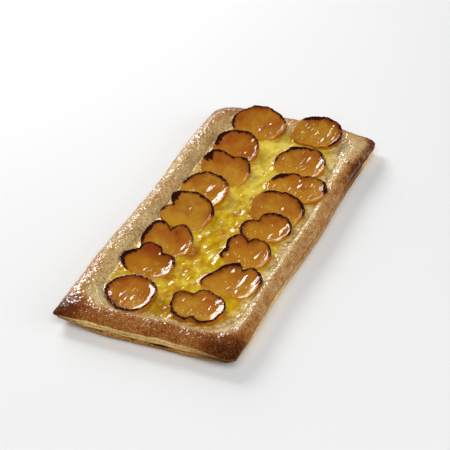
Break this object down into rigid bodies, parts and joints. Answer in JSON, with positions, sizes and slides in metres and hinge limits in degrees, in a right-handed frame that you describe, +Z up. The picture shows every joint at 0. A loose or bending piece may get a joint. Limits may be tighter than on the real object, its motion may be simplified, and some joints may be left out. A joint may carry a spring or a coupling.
{
  "type": "apricot tart",
  "caption": "Rectangular puff pastry tart with a raised browned border, a custard filling and rows of baked apricot halves, cut face up.",
  "frame": {"origin": "middle of the flat underside, at the centre of the pastry's outline", "axes": "+Y along the tart to its far end, +X to its right side, +Z up from the table"},
  "size_m": [0.1412, 0.3074, 0.0286],
  "materials": {
    "pastry": "baked puff pastry, golden to dark brown, glossy with glaze on top",
    "custard": "baked yellow custard under clear glaze, with brown patches",
    "apricot": "baked orange apricot with a charred rim, wet with glaze"
  },
  "bodies": {
    "root": {"pastry": "pastry", "custard": "custard", "apricot_L1": "apricot", "apricot_L2": "apricot", "apricot_L3": "apricot", "apricot_L4": "apricot", "apricot_L5": "apricot", "apricot_L6": "apricot", "apricot_L7": "apricot", "apricot_L8": "apricot", "apricot_R1": "apricot", "apricot_R2": "apricot", "apricot_R3": "apricot", "apricot_R4": "apricot", "apricot_R5": "apricot", "apricot_R6": "apricot", "apricot_R7": "apricot", "apricot_R8": "apricot"}
  },
  "joints": []
}
